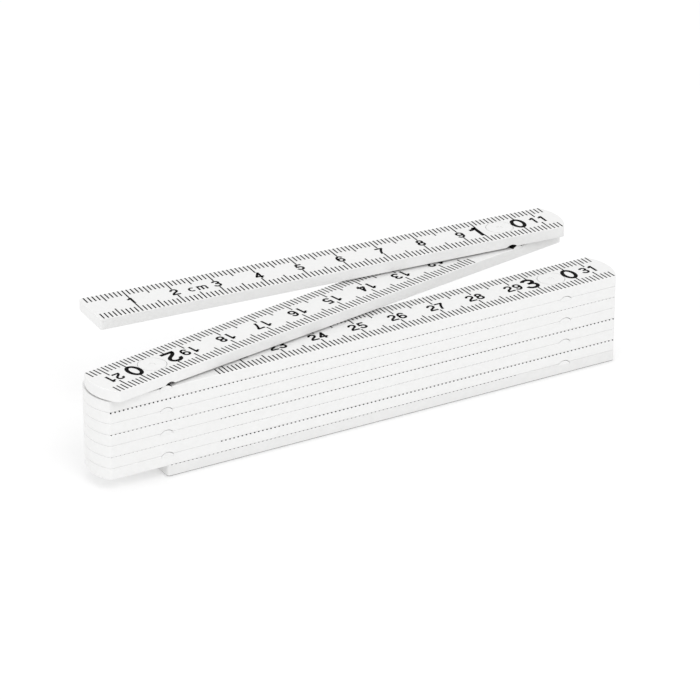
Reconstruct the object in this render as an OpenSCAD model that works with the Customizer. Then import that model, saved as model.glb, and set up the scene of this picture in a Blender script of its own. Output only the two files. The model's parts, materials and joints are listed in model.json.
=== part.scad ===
// Folding rule, one metre long: ten flat blades, each turning on its neighbour at a riveted joint.
// Blade 1 is on top and carries the zero end; blade 10 lies on the table. Each blade lies one level
// below the one before it, so every joint turns about a vertical axis. The two top joints stand
// part open, the rest are folded.
// Origin: on the underside of blade 10, midway between the two rows of joints. X runs along the
// folded blades, Y goes to the back, Z up.

/* [Blades] */
// Distance between the two joints of a blade: ten centimetres of the printed scale
joint_pitch = 100; // [80:1:200]
// Width of a blade
blade_w = 12; // [11:0.5:16]
// Thickness of a blade
blade_t = 2.56; // [2.4:0.02:3.5]
// Radius on the long edges of a blade
edge_r = 0.15; // [0.1:0.05:0.6]
// From a joint's axis to the corners of the rounded end beyond it
overhang = 13.3; // [10:0.1:18]
// How far the rounded end bulges past its corners
end_bulge = 1.9; // [1:0.1:3]
// Free play between two folded blades
blade_gap = 0.04; // [0.02:0.01:0.2]

/* [Pose] */
// How far joint 1, at the right, stands open
joint_1_open = 14.8; // [0:0.1:60]
// How far joint 2, at the left, stands open
joint_2_open = 10.7; // [0:0.1:60]
// How far the click rib props up the blade above it in a joint that stands open
rib_lift = 0.4; // [0:0.05:0.45]

/* [Joints] */
// Diameter of the pivot pin's shank
shank_d = 3; // [2.5:0.1:3.2]
// Diameter of the pivot pin's two heads
head_d = 5; // [4.6:0.1:5.4]
// Diameter of the round cap that covers a head
cap_d = 6.1; // [5.8:0.1:6.6]
// Height of the click rib
rib_h = 0.5; // [0.4:0.05:0.6]
// Width of the click rib at its foot
rib_w = 2.6; // [2.2:0.1:3]

/* [Hidden] */
$fn = 64;

last = 10;                               // number of blades
half_pitch = joint_pitch / 2;
level = blade_t + blade_gap;             // from one folded blade's underside to the next one's
end_r = (pow(blade_w / 2, 2) + pow(end_bulge, 2)) / (2 * end_bulge);
corner_r = 0.6;                          // upright corners of a square-cut end
through = 0.5;                           // how far a cutter runs past the face that it opens

run = 0.05;                              // radial running clearance of a pin in its hole
cap_play = 0.1;                          // radial gap round a cap
cap_t = 0.4;
head_t = 0.5;                            // upper head of a pin
foot_t = 0.3;                            // lower, riveted head
axial_play = 0.05;
washer_t = 0.25;
washer_dish = 0.08;                      // how far a spring washer's rim stands off its seat
seat_up = cap_t + head_t + 2 * axial_play;                       // counterbore in a blade's top
seat_down = cap_t + foot_t + washer_t + washer_dish + axial_play; // counterbore in its underside

plate_t = 0.45;
plate_pocket = plate_t + 0.05;           // depth of the pocket that holds a click plate
plate_ring_d = 7.6;
arm_w = rib_w + 0.3;                     // width of a click plate's two arms
plate_play = 0.05;
groove_play = 0.1;                       // gap between a rib and the groove above it

// Height of blade n's underside, and the play under it
function play_under(n) = n <= 2 ? blade_gap + rib_lift : blade_gap;
function foot_z(n) = n >= last ? 0 : foot_z(n + 1) + blade_t + play_under(n);

// Joint n holds blade n on top of blade n + 1. Odd joints are at the right, even ones at the left.
function joint_x(n) = n % 2 == 1 ? half_pitch : -half_pitch;
function opens_by(n) = n == 1 ? -joint_1_open : n == 2 ? joint_2_open : 0;

// Swings the children about joint n
module swing(n, angle) {
    translate([joint_x(n), 0, 0]) rotate([0, 0, angle]) translate([-joint_x(n), 0, 0]) children();
}

// Puts what belongs to blade n where that blade stands
module on_blade(n) {
    if (n == 1)
        swing(2, opens_by(2)) swing(1, opens_by(1)) children();
    else if (n == 2)
        swing(2, opens_by(2)) children();
    else
        children();
}

// Puts the children at joint n, at the level of blade b, and turned with blade b
module at_joint(n, b) {
    on_blade(b) translate([joint_x(n), 0, foot_z(b)]) children();
}

// ---- Blades ----

// Cross-section of a blade, standing on its lower edge, with rounded long edges
module blade_section() {
    translate([-blade_w / 2 + edge_r, 0]) square([blade_w - 2 * edge_r, blade_t]);
    translate([-blade_w / 2, edge_r]) square([blade_w, blade_t - 2 * edge_r]);
    for (side = [-1, 1], z = [edge_r, blade_t - edge_r])
        translate([side * (blade_w / 2 - edge_r), z]) circle(edge_r);
}

// Half of a blade seen from above, from its middle out to a rounded end past a joint
module rounded_half() {
    translate([0, -blade_w / 2]) square([half_pitch + 2, blade_w]);
    intersection() {
        translate([half_pitch, -blade_w / 2]) square([overhang + end_bulge, blade_w]);
        translate([half_pitch + overhang + end_bulge - end_r, 0]) circle(end_r, $fn = 128);
    }
}

// Half of a blade seen from above, from its middle out to a square-cut end at the zero or 100 mark
module square_half() {
    translate([0, -blade_w / 2 + corner_r]) square([half_pitch, blade_w - 2 * corner_r]);
    translate([0, -blade_w / 2]) square([half_pitch - corner_r, blade_w]);
    for (side = [-1, 1])
        translate([half_pitch - corner_r, side * (blade_w / 2 - corner_r)]) circle(corner_r);
}

// The plain blade: its section run along X and trimmed to its outline
module blade_body(square_left) {
    intersection() {
        translate([-half_pitch - overhang - end_bulge - 1, 0, 0])
            rotate([90, 0, 90])
                linear_extrude(joint_pitch + 2 * (overhang + end_bulge + 1)) blade_section();
        translate([0, 0, -1]) linear_extrude(blade_t + 2) {
            rounded_half();
            mirror([1, 0]) if (square_left) square_half(); else rounded_half();
        }
    }
}

// Arched bar across a blade: a slice of a cylinder whose axis runs along Y
module arch(width, height, length) {
    r = (pow(width / 2, 2) + pow(height, 2)) / (2 * height);
    intersection() {
        translate([0, length / 2, height - r]) rotate([90, 0, 0]) cylinder(h = length, r = r, $fn = 96);
        translate([-width, -length / 2, 0]) cube([2 * width, length, height + 1]);
    }
}

// What is cut out of a blade where it is the upper one of a joint: the cap's and the head's seat,
// the pin's hole, and the groove that the click rib drops into
module upper_cuts() {
    translate([0, 0, blade_t - seat_up]) cylinder(h = seat_up + through, d = cap_d + 2 * cap_play);
    translate([0, 0, -through]) cylinder(h = blade_t + 2 * through, d = shank_d + 2 * run);
    translate([0, 0, -blade_gap])
        arch(rib_w + 2 * groove_play, rib_h + blade_gap + groove_play, blade_w + 2 * through);
}

// What is cut out of a blade where it is the lower one of a joint: the seat of the washer, the
// riveted head and its cap, the pin's hole, and the pocket that holds the click plate
module lower_cuts() {
    translate([0, 0, -through]) cylinder(h = seat_down + through, d = cap_d + 2 * cap_play);
    translate([0, 0, -through]) cylinder(h = blade_t + 2 * through, d = shank_d + 2 * run);
    translate([0, 0, blade_t - plate_pocket]) linear_extrude(plate_pocket + through)
        plate_outline(plate_play, through);
}

module blade(n) {
    color("whitesmoke") on_blade(n) translate([0, 0, foot_z(n)]) difference() {
        blade_body(n == 1 || n == last);
        if (n < last) translate([joint_x(n), 0, 0]) upper_cuts();
        if (n > 1) translate([joint_x(n - 1), 0, 0]) lower_cuts();
    }
}

// ---- Joints ----

// Outline of a click plate: a ring round the pin with an arm out to each edge of the blade
module plate_outline(grow = 0, past_edge = 0) {
    length = blade_w + 2 * past_edge;
    circle(d = plate_ring_d + 2 * grow);
    translate([-arm_w / 2 - grow, -length / 2]) square([arm_w + 2 * grow, length]);
}

// Sprung plate in the top of the lower blade, with the rib that clicks into the upper blade. In a
// joint that stands open the rib is pressed down until it only props the upper blade up.
module click_plate(n) {
    stands = opens_by(n) == 0 ? rib_h : rib_lift + blade_gap / 2;
    arm = blade_w - 0.1;
    color("white") at_joint(n, n + 1) difference() {
        union() {
            translate([0, 0, blade_t - plate_pocket]) linear_extrude(plate_t)
                intersection() {
                    plate_outline();
                    square([plate_ring_d + 1, arm], center = true);
                }
            translate([0, 0, blade_t - plate_pocket + plate_t - 0.01])
                arch(rib_w, stands + plate_pocket - plate_t + 0.01, arm);
        }
        translate([0, 0, -through]) cylinder(h = 2 * blade_t, d = shank_d + 0.6);
    }
}

// Steel rivet: a shank through both blades, a flat head above and a riveted one below
module pivot_pin(n) {
    under = blade_t + play_under(n);     // from the lower blade's underside to the upper one's
    top = under + blade_t - cap_t - axial_play;
    color("silver") at_joint(n, n + 1) {
        translate([0, 0, cap_t + axial_play]) cylinder(h = top - cap_t - axial_play, d = shank_d);
        translate([0, 0, cap_t + axial_play]) cylinder(h = foot_t, d = head_d);
        translate([0, 0, top - head_t]) cylinder(h = head_t, d = head_d);
    }
}

// Dished spring washer between the lower blade and the riveted head: it squeezes the joint
module spring_washer(n) {
    inner = shank_d / 2 + 0.1;
    outer = head_d / 2 + 0.3;
    low = cap_t + axial_play + foot_t;   // top of the riveted head
    color("dimgray") at_joint(n, n + 1) rotate_extrude()
        polygon([[inner, low], [outer, low + washer_dish],
                 [outer, low + washer_dish + washer_t], [inner, low + washer_t]]);
}

// Round cap, flush with the blade's face, with a small dimple in its middle
module cap() {
    difference() {
        cylinder(h = cap_t, d = cap_d);
        translate([0, 0, cap_t - 0.15]) cylinder(h = 1, d = 1.4);
    }
}

// The caps of one blade: one in its top over the joint below it, one in its underside under the
// joint above it
module pivot_caps(n) {
    color("white") {
        if (n < last) at_joint(n, n) translate([0, 0, blade_t - cap_t]) cap();
        if (n > 1) at_joint(n - 1, n) translate([0, 0, cap_t]) mirror([0, 0, 1]) cap();
    }
}

// ---- Nodes ----

function two_digits(n) = n < 10 ? str("0", n) : str(n);

for (n = [1:last]) {
    blade(n);
    pivot_caps(n);
}
for (n = [1:last - 1]) {
    pivot_pin(n);
    spring_washer(n);
    click_plate(n);
}
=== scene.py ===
"""Looks of the folding rule: finely rounded blades, the printed scale, materials, light and camera."""

import json
import math

import bpy
from mathutils import Matrix, Vector


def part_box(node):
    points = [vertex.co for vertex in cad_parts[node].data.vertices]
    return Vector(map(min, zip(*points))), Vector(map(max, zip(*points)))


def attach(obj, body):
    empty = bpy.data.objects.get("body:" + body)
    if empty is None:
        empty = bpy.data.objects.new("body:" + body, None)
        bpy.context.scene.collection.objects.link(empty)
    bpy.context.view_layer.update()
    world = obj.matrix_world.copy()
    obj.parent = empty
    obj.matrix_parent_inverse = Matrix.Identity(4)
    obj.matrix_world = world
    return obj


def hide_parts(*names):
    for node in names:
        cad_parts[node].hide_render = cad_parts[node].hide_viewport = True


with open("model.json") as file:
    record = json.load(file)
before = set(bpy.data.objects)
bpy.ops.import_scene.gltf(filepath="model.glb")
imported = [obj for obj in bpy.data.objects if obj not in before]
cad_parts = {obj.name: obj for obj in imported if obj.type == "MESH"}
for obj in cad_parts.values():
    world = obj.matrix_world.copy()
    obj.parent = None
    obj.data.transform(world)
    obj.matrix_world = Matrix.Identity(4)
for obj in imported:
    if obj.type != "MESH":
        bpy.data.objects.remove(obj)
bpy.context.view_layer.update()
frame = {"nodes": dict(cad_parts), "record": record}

MM = 0.001
LAST = 10                    # number of blades
PITCH = 100.0                # joint to joint, in millimetres like every length of a blade or its print
HALF_PITCH = PITCH / 2
WIDTH, THICK = 12.0, 2.56    # of a blade
GAP = 0.04                   # play between two blades
OPENED = (1, 2)              # the joints that stand open, each with a lifted blade above and painted shade on its click plate
EDGE_R = 0.15                # on every edge of a blade's faces
OVERHANG, BULGE = 13.3, 1.9  # rounded end: joint to corner, and corner to tip
END_R = ((WIDTH / 2) ** 2 + BULGE ** 2) / (2 * BULGE)
CORNER_R = 0.6               # upright corners

SHANK_R, CAP_R, PLATE_R = 1.55, 3.15, 3.85       # holes round the pin, the caps and the click plate
SEAT_UP, SEAT_DOWN, PLATE_POCKET = 1.0, 1.08, 0.5          # depths of the caps' seats and the plate's pocket
ARM_W = 3.0                  # width of the pocket along the click plate's arms
GROOVE_W, GROOVE_H = 2.8, 0.64
RIB_FOOT = -GAP              # level at which the groove is GROOVE_W wide

INK_UP, INK_DOWN = 0.006, 0.04   # how far the print stands proud of the face, and how deep it is rooted
PRESSED = 0.026              # how far a blade in the closed stack comes down towards the one below it

CLEAR = 1.0                  # how far a cutter stands out of the blade
GROOVE_CUTTER_FOOT = -6.0    # and how far down the cutter of a groove reaches
ROUNDING_STEPS, CORNER_STEPS, END_STEPS = 6, 6, 32           # steps of the curves of a blade
HOLE_STEPS, POCKET_STEPS, GROOVE_STEPS = 96, 24, 64          # and of what is cut out of it
CREASE = 30                  # degrees between two faces from which the edge between them is sharp
# Limits of the upright part of a face's normal: flat from the first, wall to the second, painted contact
# shadow to the third
FLAT_FROM, WALL_TO, CONTACT_SHADE_TO = 0.9999, 0.001, 0.99


# ---------------------------------------------------------------- Helpers

def arc(cx, cy, rx, ry, start, end, steps):
    """Points on an ellipse from one angle to another, in degrees."""
    turns = [math.radians(start + (end - start) * i / steps) for i in range(steps + 1)]
    return [(cx + rx * math.cos(a), cy + ry * math.sin(a)) for a in turns]


def curve(p0, p1, p2, p3, steps):
    """Points on a cubic curve between p0 and p3."""
    points = []
    for i in range(steps + 1):
        t = i / steps
        k = ((1 - t) ** 3, 3 * t * (1 - t) ** 2, 3 * t * t * (1 - t), t ** 3)
        points.append(tuple(sum(w * p[axis] for w, p in zip(k, (p0, p1, p2, p3))) for axis in (0, 1)))
    return points


def put(name, data):
    """A new object in the scene."""
    obj = bpy.data.objects.new(name, data)
    bpy.context.scene.collection.objects.link(obj)
    return obj


def new_object(name, verts, faces):
    mesh = bpy.data.meshes.new(name)
    mesh.from_pydata(verts, [], faces)
    mesh.validate()
    return put(name, mesh)


def solid(name, loops):
    """A closed solid through a row of loops, which all have the same number of points."""
    size = len(loops[0])
    verts = [point for loop in loops for point in loop]
    faces = []
    for start in range(0, len(verts) - size, size):
        for i in range(size):
            j = (i + 1) % size
            faces.append((start + i, start + j, start + size + j, start + size + i))
    faces.append(tuple(reversed(range(size))))
    faces.append(tuple(range(len(verts) - size, len(verts))))
    return new_object(name, verts, faces)


def blade_name(n):
    return "blade_%02d" % n


# How far each joint stands open at rest comes from the record, and each blade's height from its CAD node
open_now = {j["name"]: -math.radians(j["range_deg"][0]) for j in frame["record"]["behaviour"]["joints"]}


def swing(x, angle):
    """A turn about the upright axis at x."""
    at = Matrix.Translation((x, 0, 0))
    return at @ Matrix.Rotation(angle, 4, "Z") @ at.inverted()


def place(n):
    """Matrix from a blade's own millimetres to the row frame. Its own left end holds joint n - 1.

    Blades 1 and 2 swing about joint 2, and blade 1 about joint 1 as well.
    """
    m = Matrix.Identity(4)
    if n <= 2:
        m = swing(-HALF_PITCH, open_now["hinge_02"])
    if n == 1:
        m = m @ swing(HALF_PITCH, -open_now["hinge_01"])
    if n % 2 == 0:
        m = m @ Matrix.Rotation(math.pi, 4, "Z")
    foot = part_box(blade_name(n))[0][2] / MM
    return Matrix.Scale(MM, 4) @ Matrix.Translation((0, 0, foot)) @ m


# ---------------------------------------------------------------- Blades

def end_outline(square, inset):
    """Right-hand end of a blade seen from above, from its front edge round to its back edge."""
    r = CORNER_R - inset
    y = WIDTH / 2 - CORNER_R
    if square:
        x = HALF_PITCH - CORNER_R
        return arc(x, -y, r, r, -90, 0, CORNER_STEPS) + arc(x, y, r, r, 0, 90, CORNER_STEPS)
    mid = HALF_PITCH + OVERHANG + BULGE - END_R
    x = mid + math.sqrt((END_R - CORNER_R) ** 2 - y * y)
    lean = math.degrees(math.atan2(y, x - mid))
    big = END_R - inset
    return (arc(x, -y, r, r, -90, -lean, CORNER_STEPS)[:-1]
            + arc(mid, 0, big, big, -lean, lean, END_STEPS)
            + arc(x, y, r, r, lean, 90, CORNER_STEPS)[1:])


def outline(square_left, square_right, inset):
    right = end_outline(square_right, inset)
    left = [(-x, -y) for x, y in end_outline(square_left, inset)]
    return right + left


def blade_solid(square_left, square_right, foot):
    """A blade with every edge rounded, before anything is cut out of it. Its underside is at foot."""
    quarter = [math.radians(90 * i / ROUNDING_STEPS) for i in range(ROUNDING_STEPS + 1)]
    rounding = [(EDGE_R * (1 - math.cos(a)), EDGE_R * (1 - math.sin(a))) for a in quarter]
    levels = [(foot + z, inset) for z, inset in rounding]
    levels += [(THICK - z, inset) for z, inset in reversed(rounding)]
    return solid("blade_plain", [[(x, y, z) for x, y in outline(square_left, square_right, inset)]
                                 for z, inset in levels])


def prism(loop, low, high):
    """Upright cutter between two heights over a closed outline."""
    return solid("cutter", [[(x, y, z) for x, y in loop] for z in (low, high)])


def disc(x, radius, low, high):
    return prism(arc(x, 0, radius, radius, 0, 360, HOLE_STEPS)[:-1], low, high)


def plate_pocket(x):
    """Cutter of a click plate's pocket: a round middle and two arms that run out past the blade's edges."""
    half = ARM_W / 2
    turn = math.degrees(math.acos(half / PLATE_R))
    far = WIDTH / 2 + CLEAR
    right = arc(0, 0, PLATE_R, PLATE_R, -turn, turn, POCKET_STEPS)
    left = arc(0, 0, PLATE_R, PLATE_R, 180 - turn, 180 + turn, POCKET_STEPS)
    loop = [(half, -far)] + right + [(half, far), (-half, far)] + left + [(-half, -far)]
    return prism([(x + px, py) for px, py in loop], THICK - PLATE_POCKET, THICK + CLEAR)


def groove(x):
    """Cutter of the arched groove across a blade's underside that the click rib drops into."""
    r = ((GROOVE_W / 2) ** 2 + GROOVE_H ** 2) / (2 * GROOVE_H)
    loop = arc(x, RIB_FOOT + GROOVE_H - r, r, r, 0, 180, GROOVE_STEPS)
    loop += [(x - r, GROOVE_CUTTER_FOOT), (x + r, GROOVE_CUTTER_FOOT)]
    far = WIDTH / 2 + CLEAR
    return solid("cutter", [[(px, y, pz) for px, pz in loop] for y in (far, -far)])


def paint(obj, mat):
    if not obj.material_slots:
        obj.data.materials.append(mat)
    for held in obj.material_slots:
        held.material = mat


def cut(obj, cutters):
    """Cuts solids out of obj. The faces that each one leaves take the look that comes with it."""
    for cutter, look in cutters:
        paint(cutter, look)
        step = obj.modifiers.new("cut", "BOOLEAN")
        step.operation, step.solver, step.object = "DIFFERENCE", "EXACT", cutter
        step.material_mode = "TRANSFER"
        graph = bpy.context.evaluated_depsgraph_get()
        mesh = bpy.data.meshes.new_from_object(obj.evaluated_get(graph))
        obj.modifiers.clear()
        obj.data = mesh
        bpy.data.objects.remove(cutter)


def crease(mesh):
    """Smooth shading, but with the flat faces kept flat up to their edges."""
    for face in mesh.polygons:
        face.use_smooth = True
    mesh.set_sharp_from_angle(angle=math.radians(CREASE))

    def kind(face):
        up = abs(mesh.polygons[face].normal.z)
        return "flat" if up > FLAT_FROM else "wall" if up < WALL_TO else "round"

    sides = {}
    for face in mesh.polygons:
        for key in face.edge_keys:
            sides.setdefault(key, []).append(face.index)
    for edge in mesh.edges:
        around = sides.get(tuple(sorted(edge.vertices)), [])
        if len({kind(f) for f in around}) > 1:
            edge.use_edge_sharp = True


def finished_blade(square_left, square_right, foot, look, groove_look):
    """Mesh of a blade. Each end that isn't square holds a joint, as its upper blade on the right."""
    blade = blade_solid(square_left, square_right, foot)
    paint(blade, look)
    cutters = []
    if not square_right:
        cutters += [(disc(HALF_PITCH, CAP_R, THICK - SEAT_UP, THICK + CLEAR), look),
                    (disc(HALF_PITCH, SHANK_R, -CLEAR, THICK + CLEAR), look),
                    (groove(HALF_PITCH), groove_look)]
    if not square_left:
        cutters += [(disc(-HALF_PITCH, CAP_R, -CLEAR, SEAT_DOWN), look),
                    (disc(-HALF_PITCH, SHANK_R, -CLEAR, THICK + CLEAR), look),
                    (plate_pocket(-HALF_PITCH), look)]
    cut(blade, cutters)
    mesh = blade.data
    crease(mesh)
    bpy.data.objects.remove(blade)
    return mesh


def soil_lower_edge(mesh, look):
    """Painted contact shadow: a dark colour on the rounded edge all round a blade's underside."""
    mesh.materials.append(look)
    for face in mesh.polygons:
        if face.center.z < EDGE_R and abs(face.normal.z) < CONTACT_SHADE_TO:
            face.material_index = len(mesh.materials) - 1


# ---------------------------------------------------------------- Print

SMALL = dict(height=3.05, stroke=0.57, wide=0.63, advance=0.74)
BIG = dict(height=5.0, stroke=0.9, wide=0.68, advance=0.8)
UNIT = dict(height=2.9, stroke=0.46, wide=0.6, advance=0.74)
SHARPEST = 0.5               # limits how far the outer corner of a stroke runs out
TICK_W, TICK_STEPS = 0.335, 5
TICK_IN = {"mm": 3.25, "half": 2.2, "cm": 1.62, "joint": 2.9}    # from the centreline to a tick's inner end
REACH = 58                   # degrees that ticks run over a blade's rounded edges where the print sits true
DOWN_PER_DEGREE = 0.01       # a reach past 90 degrees runs on down the side face by this much per degree
# How the print sits askew: what the ticks' reach gains on a blade's near edge, at its left and right ends
ASKEW = {1: (-38, -38), 2: (-38, -38), 3: (-38, -38), 4: (46, -12), 5: (-16, -20),
         6: (10, -8), 7: (4, 38), 8: (-32, -30), 9: (36, 36), 10: (2, -4)}
FIRST_MM = 13                # a blade's print starts here, and ends as far into the next ten
LAST_MM = 99                 # but the last blade's ends here
UNIT_AT = 25                 # where the centimetre sign stands on blade 1
TENS_AT, ZERO_AT, NEXT_AT = 94.5, 104.8, 110     # and the signs round a joint: its tens, its 0, the next cm


class Print:
    """Collects the closed solids of one blade's print, in the blade's own millimetres."""

    def __init__(self):
        self.verts, self.faces = [], []

    def add(self, verts, faces):
        first = len(self.verts)
        self.verts += verts
        self.faces += [tuple(first + i for i in face) for face in faces]

    def ribbon(self, path, stroke, closed):
        """A stroke of constant width along a path on the top face."""
        count = len(path)
        left, right = [], []
        for i, (x, y) in enumerate(path):
            if closed:
                a, b = path[i - 1], path[(i + 1) % count]
            else:
                a, b = path[max(i - 1, 0)], path[min(i + 1, count - 1)]
            ahead = Vector((b[0] - x, b[1] - y))
            behind = Vector((x - a[0], y - a[1]))
            ahead = ahead.normalized() if ahead.length else behind.normalized()
            behind = behind.normalized() if behind.length else ahead
            along = (ahead + behind).normalized()
            widen = 1 / max(along.dot(ahead), SHARPEST)
            side = Vector((-along.y, along.x)) * stroke / 2 * widen
            left.append((x + side.x, y + side.y))
            right.append((x - side.x, y - side.y))
        high, low = THICK + INK_UP, THICK - INK_DOWN
        verts = [(x, y, z) for z in (high, low) for side in (left, right) for x, y in side]
        faces = []
        lt, rt, lb, rb = 0, count, 2 * count, 3 * count
        for i in range(count if closed else count - 1):
            j = (i + 1) % count
            faces += [(lt + i, rt + i, rt + j, lt + j), (lb + i, lb + j, rb + j, rb + i),
                      (lt + i, lt + j, lb + j, lb + i), (rt + i, rb + i, rb + j, rt + j)]
        if not closed:
            e = count - 1
            faces += [(lt, lb, rb, rt), (lt + e, rt + e, rb + e, lb + e)]
        self.add(verts, faces)

    def tick(self, x, side, inner, width, reach):
        """A tick from its inner end out over the rounded edge, as far as reach, in degrees."""
        flat = WIDTH / 2 - EDGE_R
        turns = [math.radians(min(reach, 90) * i / TICK_STEPS) for i in range(TICK_STEPS + 1)]

        def path(off):
            points = [(inner, THICK + off), (flat, THICK + off)]
            r = EDGE_R + off
            points += [(flat + r * math.sin(a), THICK - EDGE_R + r * math.cos(a)) for a in turns[1:]]
            if reach > 90:
                points.append((flat + r, THICK - EDGE_R - (reach - 90) * DOWN_PER_DEGREE))
            return points

        outer, root = path(INK_UP), path(-INK_DOWN)
        count = len(outer)
        verts = [(x + dx, side * y, z)
                 for dx in (-width / 2, width / 2) for points in (outer, root) for y, z in points]
        a, b, c, d = 0, count, 2 * count, 3 * count
        faces = []
        for i in range(count - 1):
            faces += [(a + i, c + i, c + i + 1, a + i + 1), (b + i, b + i + 1, d + i + 1, d + i),
                      (a + i, a + i + 1, b + i + 1, b + i), (c + i, d + i, d + i + 1, c + i + 1)]
        e = count - 1
        faces += [(a, b, d, c), (a + e, c + e, d + e, b + e)]
        if side < 0:
            faces = [tuple(reversed(f)) for f in faces]
        self.add(verts, faces)

    def glyph(self, strokes, x, height, stroke, wide):
        """One sign with its middle at x on the blade's centreline."""
        for path, closed in strokes:
            points = [(x + (px - wide / 2) * height, (py - 0.5) * height) for px, py in path]
            self.ribbon(points, stroke, closed)

    def number(self, text, x, height, stroke, wide, advance):
        """Signs side by side, with their middle at x."""
        first = x - (len(text) - 1) / 2 * advance * height
        for i, sign in enumerate(text):
            strokes = SIGNS[sign](stroke / height, wide)
            self.glyph(strokes, first + i * advance * height, height, stroke, wide)


# Each sign is a list of strokes on a grid that is one high and w wide, each with whether it is closed.
# s is the stroke's width on the same grid.

def sign_0(s, w):
    return [(arc(w / 2, 0.5, (w - s) / 2, (1 - s) / 2, 0, 360, 40)[:-1], True)]


def sign_1(s, w):
    stem = w * 0.54
    flag = curve((w * 0.06, 0.755), (w * 0.32, 0.76), (stem - s * 0.2, 0.82), (stem - s * 0.2, 1.0), 8)
    return [([(stem, 0), (stem, 1)], False), (flag, False)]


def sign_2(s, w):
    left, right, low, top = s / 2, w - s / 2, s / 2, 1 - s / 2
    bend = 0.70
    hook = arc(w / 2, bend, (right - left) / 2, top - bend, 190, 0, 16)
    fall = curve((right, bend), (right, 0.42), (left, 0.40), (left + 0.01, low), 14)
    return [(hook + fall[1:], False), ([(0.0, low), (w, low)], False)]


def sign_3(s, w):
    low, top, waist = s / 2, 1 - s / 2, 0.535
    upper = arc(w * 0.47, (top + waist) / 2, w * 0.47 - s / 2 + 0.01, (top - waist) / 2, 170, -90, 18)
    lower = arc(w * 0.48, (low + waist) / 2, w * 0.52 - s / 2, (waist - low) / 2, 90, -172, 20)
    return [(upper, False), (lower, False), ([(w * 0.34, waist), (w * 0.52, waist)], False)]


def sign_4(s, w):
    stem, bar = w * 0.70, 0.27
    return [([(stem, 0), (stem, 1)], False), ([(stem, 1 - s * 0.45), (s * 0.42, bar)], False),
            ([(0.01, bar), (w + 0.02, bar)], False)]


def sign_5(s, w):
    left, right, low, top = s / 2, w - s / 2, s / 2, 1 - s / 2
    middle = 0.325
    bowl = arc(w / 2, middle, (right - left) / 2, middle - low, 140, -168, 24)
    back = [(w * 0.26, top), (left + w * 0.06, 0.46)]
    return [(bowl, False), (back, False), ([(w * 0.19, top), (w * 0.93, top)], False)]


def sign_6(s, w):
    left, right, low, top = s / 2, w - s / 2, s / 2, 1 - s / 2
    middle, bend = 0.32, 0.55
    bowl = arc(w / 2, middle, (right - left) / 2, middle - low, 0, 360, 32)[:-1]
    back = arc(w / 2 + 0.02, bend, (right - left) / 2 + 0.02, top - bend, 28, 180, 18) + [(left, middle)]
    return [(bowl, True), (back, False)]


def sign_7(s, w):
    top = 1 - s / 2
    fall = curve((w - s * 0.35, top), (w * 0.62, 0.66), (w * 0.40, 0.36), (w * 0.34, 0.0), 12)
    return [([(0.0, top), (w, top)], False), (fall, False)]


def sign_8(s, w):
    low, top, waist = s / 2, 1 - s / 2, 0.53
    upper = arc(w / 2, (top + waist) / 2, w / 2 - s / 2 - 0.03, (top - waist) / 2, 0, 360, 28)[:-1]
    lower = arc(w / 2, (low + waist) / 2, w / 2 - s / 2, (waist - low) / 2, 0, 360, 28)[:-1]
    return [(upper, True), (lower, True)]


def sign_9(s, w):
    return [([(w - x, 1 - y) for x, y in path], closed) for path, closed in sign_6(s, w)]


def sign_c(s, w):
    middle = 0.36
    return [(arc(w / 2, middle, w / 2 - s / 2, middle - s / 2, 48, 312, 20), False)]


def sign_m(s, w):
    left, middle = s / 2, w * 1.35 / 2
    reach = (middle - left) / 2
    strokes = [[(left, 0), (left, 0.72)]]
    for x in (left, middle):
        strokes.append(arc(x + reach, 0.5, reach, 0.22 - s / 2, 180, 0, 10) + [(x + 2 * reach, 0)])
    return [(path, False) for path in strokes]


SIGNS = {"0": sign_0, "1": sign_1, "2": sign_2, "3": sign_3, "4": sign_4, "5": sign_5, "6": sign_6,
         "7": sign_7, "8": sign_8, "9": sign_9, "c": sign_c, "m": sign_m}


def blade_print(n):
    """Print of blade n. The joint at its own left end is at 0 mm, and the one at its right end at 100 mm."""
    ink = Print()
    start = 1 if n == 1 else FIRST_MM
    end = LAST_MM if n == LAST else int(PITCH) + FIRST_MM
    turned = 1 if n % 2 else -1
    left, right = ASKEW[n]
    for mm in range(start, end + 1):
        size = "joint" if mm == PITCH else "cm" if mm % 10 == 0 else "half" if mm % 5 == 0 else "mm"
        x = mm - HALF_PITCH
        along = (turned * x / (HALF_PITCH + FIRST_MM) + 1) / 2
        gain = left + (right - left) * along
        for side in (-1, 1):
            ink.tick(x, side, TICK_IN[size], TICK_W, REACH - side * turned * gain)
    tens = (n - 1) * 10
    for cm in range(1 if n == 1 else 2, 10):
        ink.number(str(tens + cm), cm * 10 - HALF_PITCH, **SMALL)
    if n < LAST:
        ink.number(str(n), TENS_AT - HALF_PITCH, **BIG)
        ink.number("0", ZERO_AT - HALF_PITCH, **BIG)
        ink.number(str(tens + 11), NEXT_AT - HALF_PITCH, **SMALL)
    if n == 1:
        ink.number("cm", UNIT_AT - HALF_PITCH, **UNIT)
    return ink


# ---------------------------------------------------------------- Materials

GRAIN_DEPTH, GRAIN_DETAIL = 0.00005, 4.0     # in metres, and in octaves
TINT_ENDS = (0.3, 0.7)       # parts of the grain's range where its two colours are full
UPWARD = 0.5                 # how far up a face looks from which painted shade lies on it


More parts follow.
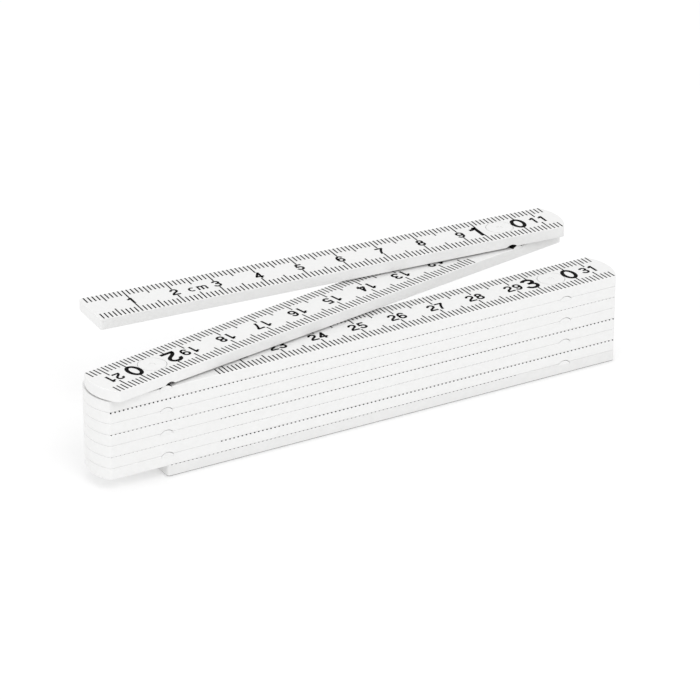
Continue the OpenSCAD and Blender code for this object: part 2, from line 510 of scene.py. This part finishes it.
def material(name, colours, rough, grain, bump, metallic=0.0, specular=0.5):
    """A surface whose colour and roughness vary a little with a fine grain."""
    mat = bpy.data.materials.new(name)
    mat.use_nodes = True
    nodes, links = mat.node_tree.nodes, mat.node_tree.links
    shader = nodes["Principled BSDF"]
    shader.inputs["Metallic"].default_value = metallic
    shader.inputs["Specular IOR Level"].default_value = specular
    where = nodes.new("ShaderNodeTexCoord")
    noise = nodes.new("ShaderNodeTexNoise")
    noise.inputs["Scale"].default_value = grain
    noise.inputs["Detail"].default_value = GRAIN_DETAIL
    links.new(where.outputs["Object"], noise.inputs["Vector"])
    tint = nodes.new("ShaderNodeValToRGB")
    for element, position, colour in zip(tint.color_ramp.elements, TINT_ENDS, colours):
        element.position, element.color = position, (*colour, 1.0)
    links.new(noise.outputs["Fac"], tint.inputs["Fac"])
    links.new(tint.outputs["Color"], shader.inputs["Base Color"])
    gloss = nodes.new("ShaderNodeMapRange")
    gloss.inputs["To Min"].default_value, gloss.inputs["To Max"].default_value = rough
    links.new(noise.outputs["Fac"], gloss.inputs["Value"])
    links.new(gloss.outputs["Result"], shader.inputs["Roughness"])
    relief = nodes.new("ShaderNodeBump")
    relief.inputs["Strength"].default_value = bump
    relief.inputs["Distance"].default_value = GRAIN_DEPTH
    links.new(noise.outputs["Fac"], relief.inputs["Height"])
    links.new(relief.outputs["Normal"], shader.inputs["Normal"])
    return mat


white = material("white_plastic", ((0.775, 0.775, 0.77), (0.80, 0.80, 0.797)),
                 rough=(0.36, 0.46), grain=900.0, bump=0.25)
# Painted shade: the lowest blade's white is darker, standing in for the weaker light near the floor
shaded_white = material("lowest_blade_painted_shade", ((0.725, 0.725, 0.72), (0.75, 0.75, 0.747)),
                  rough=(0.36, 0.46), grain=900.0, bump=0.25)
# Painted shade: a near-black colour on the grooves' faces in the open joints, where the notch lies in shade
groove_shade = material("painted_groove_shade", ((0.008, 0.008, 0.008), (0.02, 0.02, 0.019)),
                   rough=(0.35, 0.5), grain=900.0, bump=0.3, specular=0.2)
# Painted contact shadow along the bottom edge of the lowest blade
contact_shade = material("painted_contact_shade", ((0.02, 0.02, 0.02), (0.05, 0.05, 0.048)),
                rough=(0.5, 0.6), grain=900.0, bump=0.25, specular=0.3)
ink_black = material("print_ink", ((0.001, 0.001, 0.001), (0.004, 0.004, 0.004)),
                     rough=(0.6, 0.75), grain=1500.0, bump=0.2, specular=0.05)
steel = material("rivet_steel", ((0.50, 0.50, 0.51), (0.60, 0.60, 0.61)),
                 rough=(0.25, 0.4), grain=1200.0, bump=0.2, metallic=1.0)
spring = material("spring_steel", ((0.30, 0.30, 0.32), (0.40, 0.40, 0.42)),
                  rough=(0.3, 0.45), grain=1200.0, bump=0.2, metallic=1.0)


def filmed(name, shade_colour):
    """White plastic with a dark colour painted on whatever faces up, as painted shade."""
    mat = white.copy()
    mat.name = name
    nodes, links = mat.node_tree.nodes, mat.node_tree.links
    shader = nodes["Principled BSDF"]
    facing = nodes.new("ShaderNodeSeparateXYZ")
    links.new(nodes.new("ShaderNodeNewGeometry").outputs["Normal"], facing.inputs["Vector"])
    upward = nodes.new("ShaderNodeMath")
    upward.operation = "GREATER_THAN"
    upward.inputs[1].default_value = UPWARD
    links.new(facing.outputs["Z"], upward.inputs[0])
    mix = nodes.new("ShaderNodeMix")
    mix.data_type = "RGBA"
    links.new(upward.outputs["Value"], mix.inputs["Factor"])
    links.new(shader.inputs["Base Color"].links[0].from_socket, mix.inputs["A"])
    mix.inputs["B"].default_value = (*shade_colour, 1.0)
    links.new(mix.outputs["Result"], shader.inputs["Base Color"])
    return mat


# Painted shade on the upward faces of the open joints' click plates, seen in their dark notches
top_shaded = filmed("painted_top_shade_plastic", (0.01, 0.01, 0.01))

# The looks of the CAD nodes, by how their names start. The others are white
looks = {"pivot_pin": steel, "spring_washer": spring}
# The click plates of the open joints take the painted top shade
looks.update({"click_plate_%d" % n: top_shaded for n in OPENED})
for node, obj in frame["nodes"].items():
    paint(obj, next((mat for start, mat in looks.items() if node.startswith(start)), white))


# ---------------------------------------------------------------- Pieces

# The first and the last blade have one square end. Blade 2 is lifted off blade 3, while the underside of a
# middle blade comes down towards the blade below
# Blades 1 and 2, the upper blades of the open joints, carry painted shade on their grooves' faces
first = finished_blade(True, False, 0, white, groove_shade)
lifted = finished_blade(False, False, 0, white, groove_shade)
middle = finished_blade(False, False, -PRESSED, white, white)
# Blade 10 is painted darker as shade, with a painted contact shadow round its bottom edge
last = finished_blade(False, True, 0, shaded_white, shaded_white)
soil_lower_edge(last, contact_shade)

for n in range(1, LAST + 1):
    body = blade_name(n)
    shape = first if n == 1 else last if n == LAST else lifted if n in OPENED else middle
    mesh = shape.copy()
    mesh.transform(place(n))
    blade = put("fine_" + body, mesh)
    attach(blade, body)
    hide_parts(body)

    ink = blade_print(n)
    scale = new_object("print_%02d" % n, ink.verts, ink.faces)
    scale.data.transform(place(n))
    paint(scale, ink_black)
    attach(scale, body)


# ---------------------------------------------------------------- Stage, light and camera

FLOOR, FLOOR_Z = 4.0, -0.0002      # half its side and its level, in metres. A thin gap shows above it
FLOOR_GLOW, WORLD_LIGHT = 0.42, 0.88
LAMP_SIZE = 1.0                    # diameter in metres
LAMPS = {                          # place in metres and power in watts; each lamp faces the origin
    "overhead": ((-0.1, 0.1, 1.2), 0.8),
    "front": ((0.0, -0.96, 1.15), 5.9),
    "left": ((-1.40, -0.12, 0.51), 3.1),
}

corners = [(x * FLOOR, y * FLOOR, FLOOR_Z) for x, y in ((-1, -1), (1, -1), (1, 1), (-1, 1))]
floor = new_object("floor", corners, [(0, 1, 2, 3)])
floor_white = material("floor_white", ((0.52, 0.52, 0.52), (0.54, 0.54, 0.54)),
                       rough=(0.8, 0.9), grain=20.0, bump=0.0)
shader = floor_white.node_tree.nodes["Principled BSDF"]
shader.inputs["Emission Color"].default_value = (1, 1, 1, 1)
shader.inputs["Emission Strength"].default_value = FLOOR_GLOW
paint(floor, floor_white)

world = bpy.data.worlds.new("studio")
world.use_nodes = True
background = world.node_tree.nodes["Background"]
background.inputs["Color"].default_value = (1, 1, 1, 1)
background.inputs["Strength"].default_value = WORLD_LIGHT
bpy.context.scene.world = world
bpy.context.scene.view_settings.view_transform = "Standard"

for name, (at, watts) in LAMPS.items():
    data = bpy.data.lights.new(name, "AREA")
    data.shape, data.size, data.energy = "DISK", LAMP_SIZE, watts
    lamp = put(name, data)
    lamp.location = at
    lamp.rotation_euler = (Vector((0, 0, 0)) - Vector(at)).to_track_quat("-Z", "Y").to_euler()

AZIMUTH, ELEVATION = math.radians(-30.73), math.radians(24.9)
DISTANCE, RIGHT, UP = 797.9, -1.618, -5.068         # in mm, from the middle of blade 3's top face
FOCAL_PX, IMAGE_PX, SENSOR = 3699.5, 700, 36.0      # focal length and image side in pixels, sensor in mm

back = Vector((math.sin(AZIMUTH) * math.cos(ELEVATION), -math.cos(AZIMUTH) * math.cos(ELEVATION),
               math.sin(ELEVATION)))
right = Vector((math.cos(AZIMUTH), math.sin(AZIMUTH), 0))
up = back.cross(right)
target = Vector((0, 0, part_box(blade_name(3))[1][2] / MM))
camera = put("camera", bpy.data.cameras.new("camera"))
camera.data.sensor_width = SENSOR
camera.data.lens = FOCAL_PX * SENSOR / IMAGE_PX
place_mm = target + DISTANCE * back + RIGHT * right + UP * up
camera.matrix_world = Matrix.Translation(place_mm * MM) @ Matrix((right, up, back)).transposed().to_4x4()
bpy.context.scene.camera = camera
